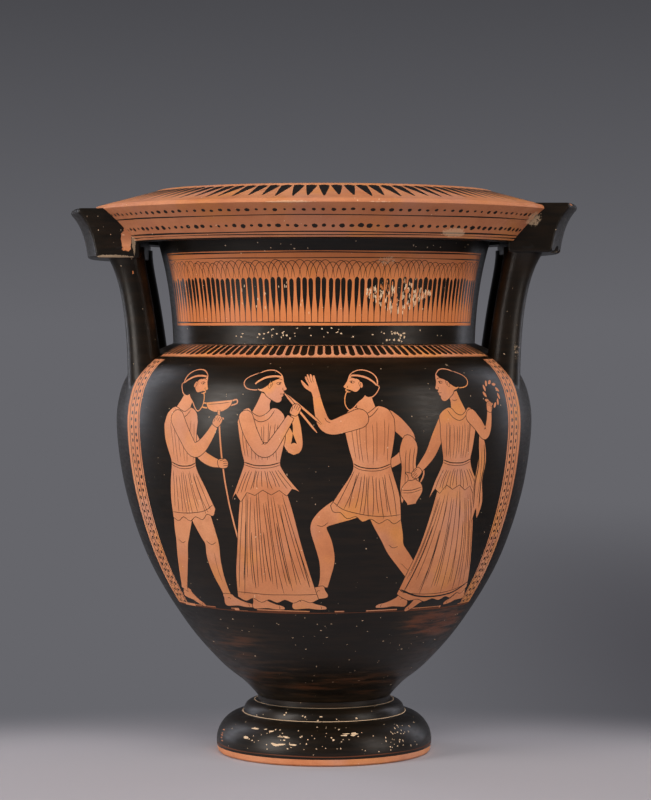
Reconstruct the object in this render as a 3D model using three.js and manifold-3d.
// A red-figure column-krater: a footed bowl for mixing wine and water, with a broad overhanging
// rim and two handles, each of two short columns under a flat plate that lies flush with the rim.
// The wheel-thrown bowl, neck, rim and foot and the built-up handles are luted with slip and fired
// together, so the vessel is one solid. Units are millimetres, +Z is up and the origin is the
// middle of the foot's resting ring. The two handles lie on -X and +X.
import * as THREE from "three";
import { mergeVertices } from "three/addons/utils/BufferGeometryUtils.js";
import Module from "manifold-3d";

// Heights above the table
const MOUTH_Z = 420; // top of the mouth's rounded lip
const RIM_EDGE_Z = 407; // outer edge of the sloping rim top, and top of the handle plates
const RIM_LOW_Z = 380.5; // lower edge of the overhanging rim
const NECK_TOP_Z = 381;
const NECK_BASE_Z = 306.5;
const BELLY_Z = 243; // widest part of the bowl
const STEM_Z = 39.5; // where the bowl meets the foot
const DISC_Z = 30.5; // step between the foot's torus and the disc on it
const FLOOR_Z = 47; // inside floor of the bowl
const FOOT_HOLLOW_Z = 32; // ceiling of the hollow under the foot

// Radii
const RIM_R = 171.5; // outer edge of the rim top
const RIM_LOW_R = 151;
const MOUTH_R = 122; // crest of the mouth's lip
const NECK_TOP_R = 124;
const NECK_BASE_R = 113;
const BELLY_R = 155.3;
const STEM_R = 49.8;
const DISC_R = 60.4;
const FOOT_R = 81;
const REST_OUTER_R = 77; // flat ring that the krater stands on
const REST_INNER_R = 61;

// Thicknesses
const WALL = 7.5;
const LIP = 10; // between the mouth's crest and its inner edge, and from the crest down to it
const FLANGE = 12; // overhanging part of the rim, measured at its lower edge
const FLANGE_GROOVE = 10; // depth of the groove behind it

// Handles
const PLATE_R = 189; // plates end in an arc about the vessel's axis
const PLATE_LOW_R = 176.5;
const PLATE_LOW_Z = 371;
const PLATE_HALF_WIDTH = 61.5;
const PLATE_INNER_X = 134;
const PLATE_LIFT = 2; // the right plate was set this much higher, the left one this much lower
const COLUMN_Y = 46; // each handle's two columns stand this far to either side of its middle
const COLUMN_FOOT_X = 129;
const COLUMN_FOOT_Z = 258; // a column's foot ends inside the bowl's wall
const COLUMN_HEAD_Z = 377; // and its head inside the plate
const COLUMN_LEAN = 9; // how far a column leans out over its height
const COLUMN_SWEEP = 9.5; // and how much further its head curves out to the plate
const COLUMN_R = 9.8;
const COLUMN_FOOT_R = 15.5;
const COLUMN_HEAD_R = 15.5;

// Facets
const TURNS = 60; // facets round the vessel
const COLUMN_SIDES = 14;

const wasm = await Module();
wasm.setup();

const at = (r, z) => new THREE.Vector2(r, z);

// The bowl's outer curve, from the stem up over the belly and shoulder to the neck.
const bowl = new THREE.SplineCurve([
  at(STEM_R, STEM_Z + 3),
  at(60, 53.5),
  at(78, 68.5),
  at(103.6, 98.5),
  at(130.5, 143.5),
  at(148.2, 195),
  at(BELLY_R, BELLY_Z),
  at(152.3, 271),
  at(142.6, 288.8),
  at(127.4, 299.8),
  at(NECK_BASE_R, NECK_BASE_Z),
]);

// The neck: a slow hollow curve that flares to the rim.
const neck = new THREE.QuadraticBezierCurve(
  at(NECK_BASE_R, NECK_BASE_Z),
  at(NECK_BASE_R + 1.2, NECK_BASE_Z + 42),
  at(NECK_TOP_R, NECK_TOP_Z),
);

// The points of a curve moved inwards by the wall's thickness, those above the given height.
function insideOf(curve, count, lowest) {
  const points = [];
  for (let i = 0; i <= count; i++) {
    const along = curve.getTangentAt(i / count);
    const point = curve.getPointAt(i / count);
    const inner = at(point.x - WALL * along.y, point.y + WALL * along.x);
    if (inner.y > lowest) points.push(inner);
  }
  return points;
}

// The foot: hollow below, a flat resting ring, a torus, and a thinner disc under the stem.
function footOutline() {
  const hollow = new THREE.QuadraticBezierCurve(
    at(0, FOOT_HOLLOW_Z),
    at(38, FOOT_HOLLOW_Z),
    at(REST_INNER_R, 0),
  );
  const torus = new THREE.CubicBezierCurve(
    at(FOOT_R - 0.4, 5.4),
    at(FOOT_R + 1.5, 17),
    at(FOOT_R - 7, 29.4),
    at(DISC_R + 1.5, DISC_Z - 0.6),
  );
  const disc = new THREE.QuadraticBezierCurve(
    at(DISC_R, DISC_Z),
    at(DISC_R - 0.4, STEM_Z - 0.6),
    at(STEM_R, STEM_Z - 0.6),
  );
  return [
    ...hollow.getPoints(3),
    at(REST_OUTER_R, 0),
    at(FOOT_R - 1.2, 1.6),
    ...torus.getPoints(5),
    ...disc.getPoints(3),
  ];
}

// The rim: groove behind the overhanging lip, flared face, sloping top and rounded mouth.
function rimOutline() {
  const grooveZ = NECK_TOP_Z + FLANGE_GROOVE;
  const face = new THREE.QuadraticBezierCurve(
    at(RIM_LOW_R, RIM_LOW_Z + 1),
    at(RIM_LOW_R + 8.6, RIM_LOW_Z + 13.5),
    at(RIM_R, RIM_EDGE_Z - 2.4),
  );
  const mouth = new THREE.CubicBezierCurve(
    at(MOUTH_R + 5, MOUTH_Z - 1.2),
    at(MOUTH_R, MOUTH_Z + 1.6),
    at(MOUTH_R - 4.5, MOUTH_Z - 0.2),
    at(MOUTH_R - 6, MOUTH_Z - LIP),
  );
  return [
    at(NECK_TOP_R + 3.5, grooveZ - 2),
    at(RIM_LOW_R - FLANGE + 4, grooveZ),
    at(RIM_LOW_R - FLANGE, RIM_LOW_Z + 1),
    at(RIM_LOW_R - FLANGE + 2, RIM_LOW_Z),
    at(RIM_LOW_R - 1, RIM_LOW_Z),
    ...face.getPoints(3),
    at(RIM_R - 0.4, RIM_EDGE_Z - 0.5),
    at(RIM_R - 3, RIM_EDGE_Z + 0.8),
    ...mouth.getPoints(4),
  ];
}

// A three.js geometry, closed once its shared vertices are merged, as a solid.
function solidOf(geometry) {
  const bare = geometry.index ? geometry.toNonIndexed() : geometry.clone();
  bare.deleteAttribute("normal");
  bare.deleteAttribute("uv");
  const merged = mergeVertices(bare, 1e-3);
  return new wasm.Manifold(
    new wasm.Mesh({
      numProp: 3,
      vertProperties: merged.getAttribute("position").array,
      triVerts: new Uint32Array(merged.index.array),
    }),
  );
}

// A profile of (radius, height) points turned about the +Z axis.
function turned(points, sides) {
  return new THREE.LatheGeometry(points, sides).rotateX(Math.PI / 2);
}

// The thrown vessel's outside, as if it were solid, without the handles.
function outside() {
  const profile = [
    ...footOutline(),
    at(STEM_R, STEM_Z + 0.6),
    ...bowl.getSpacedPoints(15),
    ...neck.getPoints(4).slice(1),
    ...rimOutline(),
    at(0, MOUTH_Z - LIP),
  ];
  return turned(profile, TURNS);
}

// The hollow from the bowl's floor up through the neck and out past the mouth.
function inside() {
  const profile = [
    at(0, FLOOR_Z),
    at(24, FLOOR_Z + 0.8),
    at(44, FLOOR_Z + 5),
    ...insideOf(bowl, 10, FLOOR_Z + 12),
    ...insideOf(neck, 3, NECK_BASE_Z),
    at(MOUTH_R - 5, MOUTH_Z - LIP),
    at(MOUTH_R - 5, MOUTH_Z + LIP),
    at(0, MOUTH_Z + LIP),
  ];
  return turned(profile, TURNS);
}

// One handle column: a turned shaft that flares at both ends, leaning out towards its plate.
function column() {
  const height = COLUMN_HEAD_Z - COLUMN_FOOT_Z;
  const rings = 9;
  const profile = [at(0, COLUMN_FOOT_Z)];
  for (let i = 0; i <= rings; i++) {
    const rise = i / rings;
    const footFlare = (COLUMN_FOOT_R - COLUMN_R) * Math.exp(-2.6 * rise);
    const headFlare = (COLUMN_HEAD_R - COLUMN_R) * Math.exp(9 * (rise - 1));
    profile.push(at(COLUMN_R + footFlare + headFlare, COLUMN_FOOT_Z + rise * height));
  }
  profile.push(at(0, COLUMN_HEAD_Z));
  const shaft = turned(profile, COLUMN_SIDES);
  const position = shaft.getAttribute("position");
  for (let i = 0; i < position.count; i++) {
    const rise = (position.getZ(i) - COLUMN_FOOT_Z) / height;
    const axisX = COLUMN_FOOT_X + COLUMN_LEAN * rise + COLUMN_SWEEP * rise ** 4;
    position.setX(i, position.getX(i) + axisX);
  }
  return shaft;
}

// One plate on +X: a ring with a flared outer face, cut off straight at the sides and inside.
function plate() {
  const face = new THREE.QuadraticBezierCurve(
    at(PLATE_LOW_R, PLATE_LOW_Z + 1.5),
    at(PLATE_LOW_R + 3, RIM_EDGE_Z - 12),
    at(PLATE_R, RIM_EDGE_Z - 3),
  );
  const ring = turned(
    [
      at(PLATE_INNER_X - 6, PLATE_LOW_Z),
      at(PLATE_LOW_R - 2, PLATE_LOW_Z),
      ...face.getPoints(4),
      at(PLATE_R - 2, RIM_EDGE_Z),
      at(PLATE_INNER_X - 6, RIM_EDGE_Z),
      at(PLATE_INNER_X - 6, PLATE_LOW_Z),
    ],
    TURNS,
  );
  const reach = 2 * (PLATE_R - PLATE_INNER_X);
  const cutter = new THREE.BoxGeometry(reach, 2 * PLATE_HALF_WIDTH, 100);
  cutter.translate(PLATE_INNER_X + reach / 2, 0, (PLATE_LOW_Z + RIM_EDGE_Z) / 2);
  return solidOf(ring).intersect(solidOf(cutter));
}

// Knocks along the right plate's lower outer edge: [angle about the axis, radius, height, size].
function plateChips() {
  const knocks = [
    [-0.27, 177, PLATE_LOW_Z + 1, 6.5],
    [-0.17, 178, PLATE_LOW_Z, 5.5],
    [0.05, 179, PLATE_LOW_Z, 4.5],
  ];
  return knocks.map(([angle, r, z, size]) => {
    const lump = new THREE.IcosahedronGeometry(size, 0).scale(1, 1.5, 0.85);
    lump.rotateZ(angle).translate(r * Math.cos(angle), r * Math.sin(angle), z);
    return solidOf(lump);
  });
}

// A whole handle on the given side (+1 right, -1 left).
function handle(side) {
  let made = solidOf(column().translate(0, COLUMN_Y, 0))
    .add(solidOf(column().translate(0, -COLUMN_Y, 0)))
    .add(plate().translate([0, 0, side * PLATE_LIFT]));
  if (side > 0) for (const chip of plateChips()) made = made.subtract(chip);
  return side > 0 ? made : made.rotate([0, 0, 180]);
}

// A solid turned back into a geometry for a three.js mesh.
function geometryOf(solid) {
  const { numProp, numVert, vertProperties, triVerts } = solid.getMesh();
  const positions = new Float32Array(numVert * 3);
  for (let i = 0; i < numVert; i++) {
    positions.set(vertProperties.subarray(i * numProp, i * numProp + 3), i * 3);
  }
  const geometry = new THREE.BufferGeometry();
  geometry.setAttribute("position", new THREE.BufferAttribute(positions, 3));
  geometry.setIndex(new THREE.BufferAttribute(triVerts, 1));
  return geometry;
}

const glazedClay = new THREE.MeshStandardMaterial({
  color: 0x2a231e,
  roughness: 0.35,
  metalness: 0,
});

// The hollow is cut last, so that nothing of the columns' feet shows inside it.
const vessel = solidOf(outside()).add(handle(1)).add(handle(-1)).subtract(solidOf(inside()));
const krater = new THREE.Mesh(geometryOf(vessel), glazedClay);
krater.name = "krater";

const group = new THREE.Group();
group.add(krater);

export default group;
